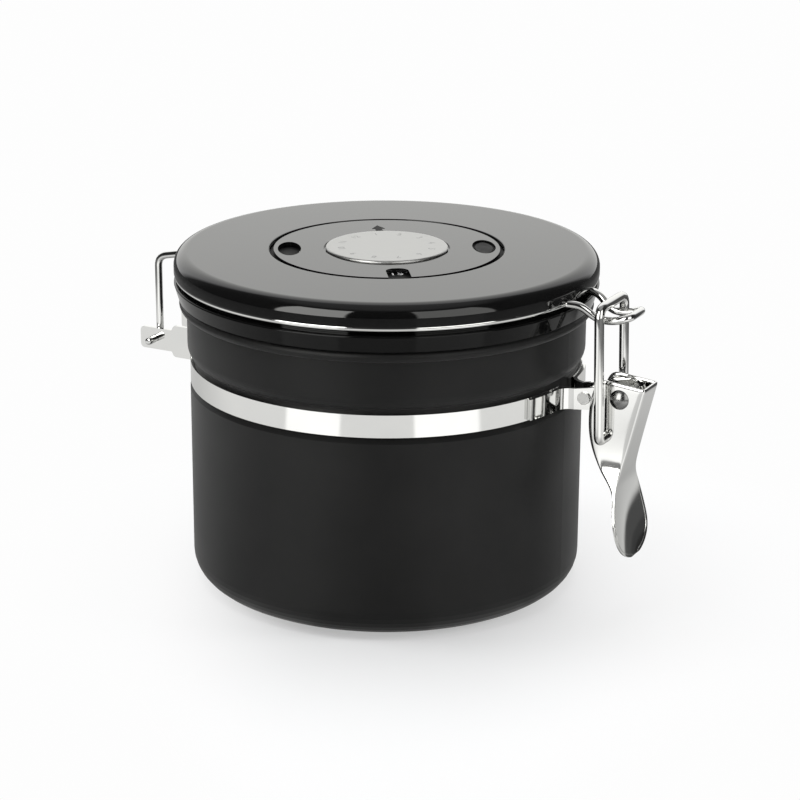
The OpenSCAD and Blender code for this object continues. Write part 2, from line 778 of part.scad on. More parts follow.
// The seat in the well of the lid base, with its ports and the post that guides the flap
module vent_body() {
    color([0.2, 0.2, 0.2])
        difference() {
            union() {
                translate([0, 0, well_floor - deck_t - 1.2])
                    cylinder(r = vent_seat + 2.4, h = 1.2, $fn = 96);
                translate([0, 0, well_floor - deck_t - 0.1])
                    cylinder(r = vent_seat, h = deck_t + 0.1, $fn = 96);
                translate([0, 0, well_floor - 0.1])
                    cylinder(r = post_r, h = flap_z - well_floor + flap_t + flap_lift + 0.6, $fn = 48);
                translate([0, 0, flap_z + flap_t + flap_lift + run_gap])
                    cylinder(r1 = post_r, r2 = post_r + 1.1, h = 0.8, $fn = 48);
            }
            for (k = [0:5])
                rotate(60 * k) translate([5, 0, well_floor - 5]) cylinder(r = 1.1, h = 10, $fn = 32);
        }
}

module vent_flap() {
    color([0.75, 0.75, 0.72])
        translate([0, 0, flap_z])
            difference() {
                cylinder(d = flap_d, h = flap_t, $fn = 96);
                translate([0, 0, -1]) cylinder(r = post_r + pin_fit, h = 3, $fn = 48);
            }
}

// The slotted cap that keeps grounds out of the vent
module vent_guard() {
    guard_r = vent_seat + 2.4;
    top = well_floor - deck_t - 1.2;
    h = 3.4;
    color([0.1, 0.1, 0.1])
        difference() {
            translate([0, 0, top - h]) cylinder(r = guard_r, h = h, $fn = 96);
            translate([0, 0, top - h + 1.2]) cylinder(r = guard_r - 1.2, h = h, $fn = 96);
            for (y = [-6, -3, 0, 3, 6])
                translate([-sqrt(pow(guard_r - 3, 2) - y * y), y - 0.6, top - h - 1])
                    cube([2 * sqrt(pow(guard_r - 3, 2) - y * y), 1.2, 4]);
        }
}

canister_body();
neck_band();
hinge_bracket();
latch_cheeks();
clamp_rivet();
lever_pin();
lever();
bail();
lid_wire();
lid_cover();
lid_base();
gasket();
lid_screws();
day_plate();
day_ring();
finger_pad();
month_disc();
dial_washer();
dial_screw();
vent_body();
vent_flap();
vent_guard();
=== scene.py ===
"""Blender scene for the airtight storage canister. Sizes are in millimetres here and metres in Blender."""
import math

import bmesh
import bpy
from mathutils import Euler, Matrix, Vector


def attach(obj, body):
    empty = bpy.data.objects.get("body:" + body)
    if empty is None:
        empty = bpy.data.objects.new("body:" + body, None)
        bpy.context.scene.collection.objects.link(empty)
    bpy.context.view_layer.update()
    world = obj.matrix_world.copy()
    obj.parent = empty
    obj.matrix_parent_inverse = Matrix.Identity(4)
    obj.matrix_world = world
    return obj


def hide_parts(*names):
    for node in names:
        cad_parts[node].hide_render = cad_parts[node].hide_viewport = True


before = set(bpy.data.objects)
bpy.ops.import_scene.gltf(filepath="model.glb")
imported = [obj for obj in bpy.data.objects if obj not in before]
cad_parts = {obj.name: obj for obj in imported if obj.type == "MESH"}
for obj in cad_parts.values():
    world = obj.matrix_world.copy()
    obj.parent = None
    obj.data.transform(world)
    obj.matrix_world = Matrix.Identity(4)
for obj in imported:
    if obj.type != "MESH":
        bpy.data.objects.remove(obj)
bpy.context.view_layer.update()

MM = 0.001

# ---------------------------------------------------- sizes in mm, as in the part's source unless noted
BODY_R = 62.3  # outside of the can
RIM_H = 92.0  # top of the can's rolled rim
BAND_Z = 68.5  # middle of the neck band
RUN_GAP = 0.3  # between pieces that pass each other
PIN_FIT = 0.06  # between a turning pin and its hole
LID_WALL = 2.0
WEB_T = 1.8  # floor of the dial pocket
DECK_T = 1.4  # deck of the lower shell
SHELL_SEAT = 0.05  # between the two lid shells

# lid shells
LID_R = BODY_R + 4.5
COVER_ROUND = 4.4
SKIRT_BOTTOM = RIM_H + RUN_GAP
BASE_TOP = SKIRT_BOTTOM + 5.2
COVER_BOTTOM = BASE_TOP + 3.5  # 0.3 lower than the solid, behind the lip
COVER_TOP = BASE_TOP + 9.3
SKIRT_R = LID_R - 1.4  # foot of the skirt, 0.1 more than the solid
SKIRT_IN = BODY_R + 1.8
PLUG_R = BODY_R - 4.8
PLUG_BOTTOM = RIM_H - 3.5
WELL_R = 15.0
WELL_FLOOR = RIM_H + 1.4
VENT_HOLE = 11.1

# wires
LID_WIRE_D = 2.4
BAIL_D = 3.0
RING_R = LID_R - 1.4  # circle of the lid wire
RING_Z = BASE_TOP + 2.2
WIRE_WAIST_R = RING_R - LID_WIRE_D / 2 - RUN_GAP
HINGE_X = -(BODY_R + 16.8)
HINGE_Z = BAND_Z + 0.6
HINGE_HALF = 12.4
LEG_Y = 9.8  # half distance between the hinge legs
NOSE_HALF = 5.5
NOSE_Z = RIM_H + 3.2
TIP_X = RING_R + 19.4
TIP_RISE = 1.7

# latch
PIVOT_X = BODY_R + 20.1
PIVOT_Z = BAND_Z + 2.5
BAIL_HALF = 9.6
HOLE_X = PIVOT_X - 4.6
HOLE_Z = PIVOT_Z - 13.0
BAR_X = HOLE_X - 1.0
BAR_Z = NOSE_Z + (LID_WIRE_D + BAIL_D) / 2 + 1.7
LEVER_HALF = 5.5
LEVER_T = 1.0
WEB_TOP = (PIVOT_X + 8.3, PIVOT_Z + 4.2)  # front of the lever, x and z
WEB_LOW = (PIVOT_X + 1.16, PIVOT_Z - 24.99)
WAIST_HALF = 7.0
PADDLE_HALF = 12.3
PADDLE_L = 26.5
PADDLE_TILT = 9.5  # degrees
DISH_R = 54.0  # dished more than the solid, which has 70

# dial
RING_OUT = 35.5
RING_T = 1.2
POCKET_R = RING_OUT + 1.5
POCKET_Z = COVER_TOP - 2.3
PLATE_TOP = POCKET_Z + 0.8
STEM_R = 4.0
HUB_R = 7.0
SCREW_HOLE_R = 1.45
SCREW_CIRCLE_R = (POCKET_R + PLUG_R) / 2
SCREW_COUNT = 6
HOLE_R = 30.55  # circle of the two finger holes
HOLE_ACROSS = 3.65  # half the short side of a hole
HOLE_ALONG = 8.3  # half the long side
PAD_GAP = 0.1  # between the finger pad and its hole
HOLE_SHIFT = 3.5  # degrees
WINDOW_HALF = 3.5
WINDOW_L = 10.5
WINDOW_ROUND = 3.0  # rounder than the solid, which has 2
DISC_R = 19.2
DISC_SINK = 0.5
DISC_TOP = COVER_TOP + 0.7
DISC_ROUND = 0.65  # round where the solid has a bevel
DISC_GAP = 0.65  # round the disc in its recess
DIAL_TURN = 34.5  # degrees
MONTH_TURN = 42.0  # degrees
AXIS_R = 0.02  # a turned outline stays this far off its axis

# ---------------------------------------------------------------- camera
CAMERA_AT = (352.2, -662.4, 302.7)
CAMERA_TURN = (71.831, -0.272, 27.757)  # degrees
CAMERA_LENS = 111.03
VIEW_TURN = math.radians(28)


def make_camera():
    """The camera at the place and lens fitted to the photo."""
    data = bpy.data.cameras.new("camera")
    data.lens = CAMERA_LENS
    data.sensor_width = 36.0
    data.clip_start = 0.05
    data.clip_end = 20.0
    camera = bpy.data.objects.new("camera", data)
    camera.location = [v * MM for v in CAMERA_AT]
    camera.rotation_euler = Euler([math.radians(v) for v in CAMERA_TURN], "XYZ")
    bpy.context.scene.collection.objects.link(camera)
    bpy.context.scene.camera = camera


def around(side, back, up):
    """A place given as right of, behind and above the can as the photo's camera sees it."""
    return (side * math.cos(VIEW_TURN) - back * math.sin(VIEW_TURN),
            side * math.sin(VIEW_TURN) + back * math.cos(VIEW_TURN), up)


# ---------------------------------------------------------------- shader nodes
SOCKETS = {
    "ior": "IOR",
    "metallic": "Metallic",
    "roughness": "Roughness",
    "sheen": "Sheen Weight",
    "specular": "Specular IOR Level",
    "subsurface": "Subsurface Weight",
}


def new_material(name, **settings):
    """A principled material; settings are plain values for its sockets."""
    mat = bpy.data.materials.new(name)
    mat.use_nodes = True
    shader = mat.node_tree.nodes["Principled BSDF"]
    for key, value in settings.items():
        shader.inputs[SOCKETS[key]].default_value = value
    return mat, mat.node_tree, shader


def place(tree, scale=(1, 1, 1)):
    """Object coordinates in metres, stretched by scale."""
    coords = tree.nodes.new("ShaderNodeTexCoord")
    mapping = tree.nodes.new("ShaderNodeMapping")
    mapping.inputs["Scale"].default_value = scale
    tree.links.new(coords.outputs["Object"], mapping.inputs["Vector"])
    return mapping.outputs["Vector"]


def noise(tree, vector, scale, detail=3.0, rough=0.5):
    node = tree.nodes.new("ShaderNodeTexNoise")
    node.inputs["Scale"].default_value = scale
    node.inputs["Detail"].default_value = detail
    node.inputs["Roughness"].default_value = rough
    tree.links.new(vector, node.inputs["Vector"])
    return node.outputs["Fac"]


def map_range(tree, value, start, end, low, high, smooth=False):
    """Maps start-end to low-high, held at both ends."""
    node = tree.nodes.new("ShaderNodeMapRange")
    if smooth:
        node.interpolation_type = "SMOOTHSTEP"
    node.inputs["From Min"].default_value = start
    node.inputs["From Max"].default_value = end
    node.inputs["To Min"].default_value = low
    node.inputs["To Max"].default_value = high
    tree.links.new(value, node.inputs["Value"])
    return node.outputs["Result"]


def smooth_step(tree, value, start, end, low=0.0, high=1.0):
    """low up to start, high from end on, and a soft step between them."""
    return map_range(tree, value, start, end, low, high, smooth=True)


def gradient(tree, value, stops):
    """A colour ramp; stops are (position, colour), with the first and the last at the ends."""
    node = tree.nodes.new("ShaderNodeValToRGB")
    elements = node.color_ramp.elements
    for element, (at, colour) in zip(elements, (stops[0], stops[-1])):
        element.position = at
        element.color = (*colour, 1)
    for at, colour in stops[1:-1]:
        elements.new(at).color = (*colour, 1)
    tree.links.new(value, node.inputs["Fac"])
    return node.outputs["Color"]


def ramp(tree, value, low, high, start=0.3, end=0.7):
    """Maps a 0-1 value to a range; low and high are numbers or colours."""
    if isinstance(low, (int, float)):
        return map_range(tree, value, start, end, low, high)
    return gradient(tree, value, [(start, low), (end, high)])


def bump(tree, shader, height, strength, depth):
    """Relief from a 0-1 height, its depth in metres."""
    node = tree.nodes.new("ShaderNodeBump")
    node.inputs["Strength"].default_value = strength
    node.inputs["Distance"].default_value = depth
    tree.links.new(height, node.inputs["Height"])
    tree.links.new(node.outputs["Normal"], shader.inputs["Normal"])


def math_node(tree, operation, first, second=None):
    """A math node; first and second are numbers or sockets."""
    node = tree.nodes.new("ShaderNodeMath")
    node.operation = operation
    for socket, value in ((0, first), (1, second)):
        if value is None:
            continue
        if isinstance(value, (int, float)):
            node.inputs[socket].default_value = value
        else:
            tree.links.new(value, node.inputs[socket])
    return node.outputs["Value"]


def times(tree, first, second):
    return math_node(tree, "MULTIPLY", first, second)


def plus(tree, first, second):
    return math_node(tree, "ADD", first, second)


def vector_node(tree, operation, vector, axis=None):
    """A vector math node; axis is its second vector."""
    node = tree.nodes.new("ShaderNodeVectorMath")
    node.operation = operation
    if axis is not None:
        node.inputs[1].default_value = axis
    tree.links.new(vector, node.inputs[0])
    return node


def along(tree, vector, axis):
    """How far a direction points along an axis."""
    return vector_node(tree, "DOT_PRODUCT", vector, axis).outputs["Value"]


def background(tree, tone, strength=1.0):
    node = tree.nodes.new("ShaderNodeBackground")
    for socket, value in (("Color", tone), ("Strength", strength)):
        if isinstance(value, (tuple, float)):
            node.inputs[socket].default_value = value
        else:
            tree.links.new(value, node.inputs[socket])
    return node.outputs["Background"]


def mix_shader(tree, fac, first, second):
    node = tree.nodes.new("ShaderNodeMixShader")
    tree.links.new(fac, node.inputs["Fac"])
    tree.links.new(first, node.inputs[1])
    tree.links.new(second, node.inputs[2])
    return node.outputs["Shader"]


# ---------------------------------------------------------------- materials
def grey(tone, blue=1.0):
    """A grey whose blue is scaled."""
    return (tone, tone, tone * blue)


def grained(name, tones, tone_grain, rough, rough_grain, relief=None, **settings):
    """A principled material whose colour, roughness and relief follow fine noise.

    tones and rough are (low, high), a grain is (noise scale, detail), and relief is (grain, strength, depth).
    """
    mat, tree, shader = new_material(name, **settings)
    where = place(tree)
    tree.links.new(ramp(tree, noise(tree, where, *tone_grain), *tones), shader.inputs["Base Color"])
    tree.links.new(ramp(tree, noise(tree, where, *rough_grain), *rough), shader.inputs["Roughness"])
    if relief:
        grain, strength, depth = relief
        bump(tree, shader, noise(tree, where, *grain), strength, depth)
    return mat


def powder_coat():
    """Matt black with a fine pebbled skin."""
    return grained("powder_coat", (grey(0.0065), grey(0.0095, 0.98)), (60, 3), (0.40, 0.47), (35, 3),
                   ((3200, 2), 0.12, 0.00008), specular=0.2, sheen=0.1)


def gloss_plastic(name, tones, rough, specular):
    return grained(name, (grey(tones[0]), grey(tones[1])), (40, 3), rough, (90, 3),
                   ((40, 2), 0.006, 0.0003), ior=1.52, specular=specular)


def polished_steel(name, rough, tone):
    return grained(name, (grey(tone, 0.99), grey(tone * 1.05, 0.981)), (70, 3), rough, (160, 4),
                   ((110, 2), 0.06, 0.0003), metallic=1.0)


def matte_plastic(name, tone):
    return grained(name, (grey(tone * 0.9), grey(tone * 1.1)), (80, 3), (0.42, 0.55), (120, 3),
                   ((2500, 2), 0.15, 0.0001), ior=1.48)


def printed_paint(name, tone, specular=0.4):
    return grained(name, (grey(tone * 0.85), grey(tone)), (300, 3), (0.45, 0.6), (500, 3), specular=specular)


def silicone():
    mat = grained("silicone", ((0.62, 0.62, 0.6), (0.7, 0.7, 0.68)), (50, 3), (0.4, 0.55), (200, 3),
                  ((1200, 2), 0.1, 0.0001), subsurface=0.15, ior=1.42)
    shader = mat.node_tree.nodes["Principled BSDF"]
    shader.inputs["Subsurface Radius"].default_value = (0.002, 0.002, 0.002)
    return mat


def brushed_steel(name, tone):
    """Steel brushed along x."""
    mat, tree, shader = new_material(name, metallic=1.0)
    lines = noise(tree, place(tree, (40, 900, 40)), 6, 4, 0.6)
    tree.links.new(ramp(tree, lines, grey(tone * 0.9), grey(tone * 1.08, 0.972)), shader.inputs["Base Color"])
    tree.links.new(ramp(tree, lines, 0.34, 0.46), shader.inputs["Roughness"])
    bump(tree, shader, lines, 0.2, 0.00004)
    return mat


def finger_pad_look():
    """Dark grey on its raised middle; the low step round it is darkened to black by its height, a painted
    shade in the hole.
    """
    step_z = (COVER_TOP - 0.68) * MM
    middle_z = (COVER_TOP - 0.5) * MM
    mat, tree, shader = new_material("finger_pad", specular=0.06)
    where = place(tree)
    split = tree.nodes.new("ShaderNodeSeparateXYZ")
    tree.links.new(where, split.inputs["Vector"])
    # painted shade: the colour falls from the raised middle to near black on the low step
    raised = map_range(tree, split.outputs["Z"], step_z, middle_z, 0.05, 1.0)
    grain = ramp(tree, noise(tree, where, 260), 0.018, 0.028)
    tree.links.new(times(tree, raised, grain), shader.inputs["Base Color"])
    tree.links.new(ramp(tree, noise(tree, where, 400), 0.5, 0.62), shader.inputs["Roughness"])
    bump(tree, shader, noise(tree, where, 2600, 2), 0.2, 0.0001)
    return mat


def paint(node, mat):
    """Gives a carried-over node one material."""
    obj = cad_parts[node]
    if not obj.material_slots:
        obj.data.materials.append(mat)
    for part in obj.material_slots:
        part.material = mat


# ---------------------------------------------------------------- light and surroundings
WHITE = (1, 1, 1, 1)
FLOOR_HALF = 3.0  # metres
FLOOR_DROP = 0.2  # the card lies this far under the can
LAMP_AIM = (0, 0, 60)
LAMPS = (  # name, place, size, watts
    ("top_softbox", around(-100, 150, 1100), (900, 700), 6.8),
    ("left_softbox", around(-1000, 100, 750), (450, 800), 4.0),
    ("right_softbox", around(900, -150, 450), (300, 700), 3.8),
)


def area_light(name, at, size, power):
    """A soft lamp at a place in mm, turned to the can."""
    data = bpy.data.lights.new(name, "AREA")
    data.shape = "RECTANGLE"
    data.size = size[0] * MM
    data.size_y = size[1] * MM
    data.energy = power
    light = bpy.data.objects.new(name, data)
    light.location = [v * MM for v in at]
    way = Vector(LAMP_AIM) - Vector(at)
    light.rotation_euler = way.to_track_quat("-Z", "Y").to_euler()
    light.visible_glossy = False  # gloss shows the softboxes of the world instead
    bpy.context.scene.collection.objects.link(light)


def softbox_sides(tree, way, shift, outer):
    """1 in the two slices of the room, left and right of the camera, where a softbox stands.

    The slices are bounded by how far aside they lie for each metre ahead.
    """
    ahead = along(tree, way, around(0, -1, 0))
    aside = along(tree, way, around(1, 0, 0))
    slope = math_node(tree, "DIVIDE", aside, math_node(tree, "MAXIMUM", ahead, 0.01))
    slope = math_node(tree, "ABSOLUTE", plus(tree, slope, shift))
    inner_edge = smooth_step(tree, slope, 0.32, 0.36)
    outer_edge = smooth_step(tree, slope, outer - 0.06, outer + 0.06, 1, 0)
    return times(tree, times(tree, inner_edge, outer_edge), smooth_step(tree, ahead, 0.02, 0.05))


def floor_glow(tree, where, reach):
    """How far the card melts into white for the camera: partly by the can, wholly away from it.

    reach and aside are metres from the middle of the can.
    """
    aside = along(tree, where, around(1, 0, 0))
    glow = smooth_step(tree, reach, 0.09, 0.225, 0.42, 1.0)
    glow = plus(tree, glow, smooth_step(tree, aside, 0.02, 0.085, 0, 0.32))
    return plus(tree, glow, smooth_step(tree, aside, -0.08, -0.02, 0.5, 0))


def floor_in_gloss(tree, where, reach):
    """How bright the card glows for gloss, all painted light: a painted pool of light below the softboxes,
    painted shadow by the can, and less far from it.
    """
    way = vector_node(tree, "NORMALIZE", where).outputs["Vector"]
    level = smooth_step(tree, along(tree, way, around(0, 1, 0)), -0.1, 0.8, 0.9, 0.6)
    # painted light: the glow is brighter below the softboxes
    level = plus(tree, level, times(tree, softbox_sides(tree, where, 0.09, 1.22), 0.5))
    # painted shadow: the glow is dimmer by the can
    level = times(tree, level, smooth_step(tree, reach, 0.08, 0.26, 0.45, 1.0))
    level = times(tree, level, smooth_step(tree, reach, 0.33, 0.41, 1.0, 0.15))
    # painted shade: the glow is darkened in a patch right of and behind the can, so that the metal shows a
    # dark line
    painted_dark_patch = smooth_step(tree, along(tree, way, around(0.97, 0.242, 0)), 0.945, 0.97)
    painted_dark_patch = times(tree, painted_dark_patch, smooth_step(tree, reach, 0.19, 0.22, 0, 0.96))
    return times(tree, level, math_node(tree, "SUBTRACT", 1.0, painted_dark_patch))


def floor_card():
    """White card, shown in its own way to the camera and to gloss; to gloss it glows with painted light and
    shade.
    """
    mat, tree, shader = new_material("floor_card", roughness=0.6, specular=0.25)
    where = place(tree)
    tree.links.new(ramp(tree, noise(tree, where, 3), (0.86, 0.865, 0.875), (0.9, 0.905, 0.91)),
                   shader.inputs["Base Color"])
    reach = vector_node(tree, "LENGTH", where).outputs["Value"]
    path = tree.nodes.new("ShaderNodeLightPath")
    white = tree.nodes.new("ShaderNodeEmission")
    white.inputs["Color"].default_value = (0.985, 0.985, 0.985, 1)
    painted_gloss_glow = tree.nodes.new("ShaderNodeEmission")
    painted_gloss_glow.inputs["Color"].default_value = (1, 1, 0.985, 1)
    tree.links.new(floor_in_gloss(tree, where, reach), painted_gloss_glow.inputs["Strength"])
    # gloss sees mostly the card's painted glow, not its lit surface
    card = mix_shader(tree, times(tree, path.outputs["Is Glossy Ray"], 0.95),
                      shader.outputs["BSDF"], painted_gloss_glow.outputs["Emission"])
    seen = times(tree, floor_glow(tree, where, reach), path.outputs["Is Camera Ray"])
    tree.links.new(mix_shader(tree, seen, card, white.outputs["Emission"]),
                   tree.nodes["Material Output"].inputs["Surface"])
    return mat


def make_floor():
    """A wide flat card under the can."""
    corners = [(x * FLOOR_HALF, y * FLOOR_HALF, 0) for x, y in ((-1, -1), (1, -1), (1, 1), (-1, 1))]
    mesh = bpy.data.meshes.new("floor")
    mesh.from_pydata(corners, [], [(0, 1, 2, 3)])
    mesh.materials.append(floor_card())
    floor = bpy.data.objects.new("floor", mesh)
    bpy.context.scene.collection.objects.link(floor)
    floor.location.z = -FLOOR_DROP * MM


def room_in_gloss(tree, way):
    """What gloss sees: a bright wall behind the can, a pale ceiling and two softboxes from the floor up."""
    up = along(tree, way, (0, 0, 1))
    behind = along(tree, way, around(0, 1, 0.35))
    wall = gradient(tree, behind, [(0.0, grey(0.02)), (0.45, grey(0.03)), (0.68, grey(0.1)),
                                   (0.8, grey(1.1)), (1.0, grey(1.25, 0.976))])
    room = tree.nodes.new("ShaderNodeAddShader")
    tree.links.new(background(tree, wall), room.inputs[0])
    tree.links.new(background(tree, WHITE, smooth_step(tree, up, 0.78, 0.95, 0, 0.3)), room.inputs[1])
    softboxes = times(tree, softbox_sides(tree, way, 0.055, 1.66), smooth_step(tree, up, 0.72, 0.78, 1, 0))
    strength = smooth_step(tree, along(tree, way, around(1, 0, 0)), -0.3, 0.3, 4.6, 1.9)
    return mix_shader(tree, softboxes, room.outputs["Shader"], background(tree, (1, 1, 0.97, 1), strength))


def make_world():
    """White for the camera, the room for gloss, and an even fill for everything else."""
    world = bpy.data.worlds.new("studio")
    bpy.context.scene.world = world
    world.use_nodes = True
    tree = world.node_tree
    tree.nodes.clear()
    out = tree.nodes.new("ShaderNodeOutputWorld")
    way = tree.nodes.new("ShaderNodeTexCoord").outputs["Generated"]
    behind = along(tree, way, around(0, 1, 0.35))
    fill = background(tree, ramp(tree, behind, grey(0.35), grey(0.65), 0.0, 0.8))
    path = tree.nodes.new("ShaderNodeLightPath")
    lit = mix_shader(tree, path.outputs["Is Glossy Ray"], fill, room_in_gloss(tree, way))
    shown = mix_shader(tree, path.outputs["Is Camera Ray"], lit, background(tree, WHITE))
    tree.links.new(shown, out.inputs["Surface"])


# ---------------------------------------------------------------- pieces and meshes
def link_piece(name, mesh, body, mat):
    """A new piece with one material, riding on a body."""
    mesh.materials.append(mat)
    obj = bpy.data.objects.new(name, mesh)
    bpy.context.scene.collection.objects.link(obj)
    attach(obj, body)
    return obj


def shade(mesh, smooth=True):
    """Smooth or flat shading on every face."""
    for poly in mesh.polygons:
        poly.use_smooth = smooth


def crisp(mesh, angle=28):
    """Smooth shading that stays sharp at real edges."""
    mesh.set_sharp_from_angle(angle=math.radians(angle))


def link_mesh(name, verts, faces, body, mat, slot, smooth=True):
    """A new piece from points in mm."""
    mesh = bpy.data.meshes.new(name)
    mesh.from_pydata([(v[0] * MM, v[1] * MM, v[2] * MM) for v in verts], [], faces)
    mesh.validate()
    shade(mesh, smooth)
    return link_piece(name, mesh, body, mat)


def link_bmesh(name, whole, body, mat):
    """A new piece from a bmesh, which is freed."""
    mesh = bpy.data.meshes.new(name)
    whole.to_mesh(mesh)
    whole.free()
    return link_piece(name, mesh, body, mat)


def polar(r, degrees):
    return (r * math.cos(math.radians(degrees)), r * math.sin(math.radians(degrees)))


def spun(point, angle):
    """A flat point turned about the middle by an angle in radians."""
    x, y = point
    return (x * math.cos(angle) - y * math.sin(angle), x * math.sin(angle) + y * math.cos(angle))


def circle(r, n=96):
    return [polar(r, 360 * k / n) for k in range(n)]


def oval(centre, half_across, half_along, n=48):
    """A closed oval whose long side runs across the radius through its centre."""
    turn = math.atan2(centre[1], centre[0])
    out = []
    for k in range(n):
        a = 2 * math.pi * k / n
        x, y = spun((half_across * math.cos(a), half_along * math.sin(a)), turn)
        out.append((centre[0] + x, centre[1] + y))
    return out


def quarter(r, z, size, start, end, n=20):
    """A quarter round of (radius, height) points about a centre, start and end in degrees."""
    points = [polar(size, start + (end - start) * i / n) for i in range(n + 1)]
    return [(r + x, z + y) for x, y in points]


def held(outline, near=0.15):
    """Adds a point close to each end of every long stretch, so that flats stay flat in smooth shading."""
    out = []
    for (r0, z0), (r1, z1) in zip(outline, outline[1:] + outline[:1]):
        out.append((r0, z0))
        length = math.hypot(r1 - r0, z1 - z0)
        if length > 6 * near:
            t = near / length
            out += [(r0 + (r1 - r0) * f, z0 + (z1 - z0) * f) for f in (t, 1 - t)]
    return out


def turned(outline, at=(0, 0), segments=160):
    """Points and faces of a closed (radius, height) outline turned about an upright axis."""
    outline = held(outline)
    n = len(outline)
    angles = [2 * math.pi * k / segments for k in range(segments)]
    verts = [(at[0] + r * math.cos(a), at[1] + r * math.sin(a), z) for a in angles for r, z in outline]
    faces = []
    for k in range(segments):
        here = k * n
        there = (k + 1) % segments * n
        for i in range(n):
            j = (i + 1) % n
            faces.append((here + i, there + i, there + j, here + j))
    return verts, faces


def add_turned(whole, outline, segments=96):
    """Adds a turned outline to a bmesh."""
    verts, faces = turned(outline, segments=segments)
    points = [whole.verts.new((v[0] * MM, v[1] * MM, v[2] * MM)) for v in verts]
    for face in faces:
        whole.faces.new([points[i] for i in face])


def add_curve(whole, curve, at, turn=0.0):
    """Adds a filled curve to a bmesh, at a place in mm and turned about z by degrees, and removes it."""
    source = bpy.data.objects.new(curve.name, curve)
    bpy.context.scene.collection.objects.link(source)
    source.location = [v * MM for v in at]
    source.rotation_euler = (0, 0, math.radians(turn))
    bpy.context.view_layer.update()
    mesh = bpy.data.meshes.new_from_object(source)
    mesh.transform(source.matrix_world)
    whole.from_mesh(mesh)
    bpy.data.meshes.remove(mesh)
    bpy.data.objects.remove(source)
    bpy.data.curves.remove(curve)


def add_plate(whole, loops, low, high):
    """Adds a flat plate to a bmesh: the first loop is its outline and the others are holes."""
    curve = bpy.data.curves.new("plate", "CURVE")
    curve.dimensions = "2D"
    curve.fill_mode = "BOTH"
    curve.extrude = (high - low) / 2 * MM
    for loop in loops:
        spline = curve.splines.new("POLY")
        spline.points.add(len(loop) - 1)
        for point, (x, y) in zip(spline.points, loop):
            point.co = (x * MM, y * MM, 0, 1)
        spline.use_cyclic_u = True
    add_curve(whole, curve, (0, 0, (high + low) / 2))


def dial_piece(whole, name, body, mat, node):
    """Turns a bmesh into a crisp piece that stands for a node."""
    bmesh.ops.remove_doubles(whole, verts=whole.verts, dist=0.000001)
    bmesh.ops.recalc_face_normals(whole, faces=whole.faces)
    obj = link_bmesh(name, whole, body, mat)
    shade(obj.data)
    crisp(obj.data)
    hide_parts(node)


# ---------------------------------------------------------------- wires
def bend(a, p, b, r, n=8):
    """Points of a soft bend of size r at corner p, between its neighbours a and b."""
    a, p, b = Vector(a), Vector(p), Vector(b)
    m = min(r, (a - p).length * 0.48, (b - p).length * 0.48)
    start = p + (a - p).normalized() * m
    end = p + (b - p).normalized() * m
    return [start * (1 - t) ** 2 + p * (2 * t * (1 - t)) + end * t * t for t in [i / n for i in range(n + 1)]]


def soft_path(corners):
    """corners are (point, size of bend)."""
    path = [Vector(corners[0][0])]
    for i in range(1, len(corners) - 1):
        path += bend(corners[i - 1][0], corners[i][0], corners[i + 1][0], corners[i][1])
    return path + [Vector(corners[-1][0])]


def spaced(path, step=2.5):
    """Adds points so that no stretch is much longer than step."""
    out = [path[0]]
    for a, b in zip(path[:-1], path[1:]):
        parts = max(1, int((b - a).length / step))
        out += [a + (b - a) * (k + 1) / parts for k in range(parts)]
    return out


def mirrored(path):
    return [Vector((p.x, -p.y, p.z)) for p in path]


def tube(name, path, radius, body, mat, slot, sides=20):
    """A round wire along a path, with slightly rounded ends."""
    path = [p for i, p in enumerate(path) if i == 0 or (p - path[i - 1]).length > 0.02]
    count = len(path)
    ways = [(path[min(i + 1, count - 1)] - path[max(i - 1, 0)]).normalized() for i in range(count)]
    first = ways[0]
    last = ways[-1]
    upright = Vector((0, 0, 1)) if abs(first.z) < 0.9 else Vector((1, 0, 0))
    across = first.cross(upright).normalized()
    end_round = radius * 0.35
    steps = ((0.0, 1.0), (0.3, 0.3), (1.0, 0.0))  # how far in from the end, how much thinner
    rings = [(path[0] + first * end_round * inward, radius - end_round * thinner, across.copy(), first)
             for inward, thinner in steps]
    for i in range(1, count - 1):
        across = (across - ways[i] * across.dot(ways[i])).normalized()
        rings.append((path[i], radius, across.copy(), ways[i]))
    across = (across - last * across.dot(last)).normalized()
    rings += [(path[-1] - last * end_round * inward, radius - end_round * thinner, across.copy(), last)
              for inward, thinner in reversed(steps)]
    verts = []
    for centre, r, side, way in rings:
        up = way.cross(side)
        for k in range(sides):
            a = 2 * math.pi * k / sides
            verts.append(centre + (side * math.cos(a) + up * math.sin(a)) * r)
    faces = []
    for i in range(len(rings) - 1):
        for k in range(sides):
            a = i * sides + k
            b = i * sides + (k + 1) % sides
            faces.append((a, b, b + sides, a + sides))
    faces.append(tuple(reversed(range(sides))))
    faces.append(tuple(range((len(rings) - 1) * sides, len(rings) * sides)))
    return link_mesh(name, verts, faces, body, mat, slot)


def on_ring(angle):
    return Vector((RING_R * math.cos(angle), RING_R * math.sin(angle), RING_Z))


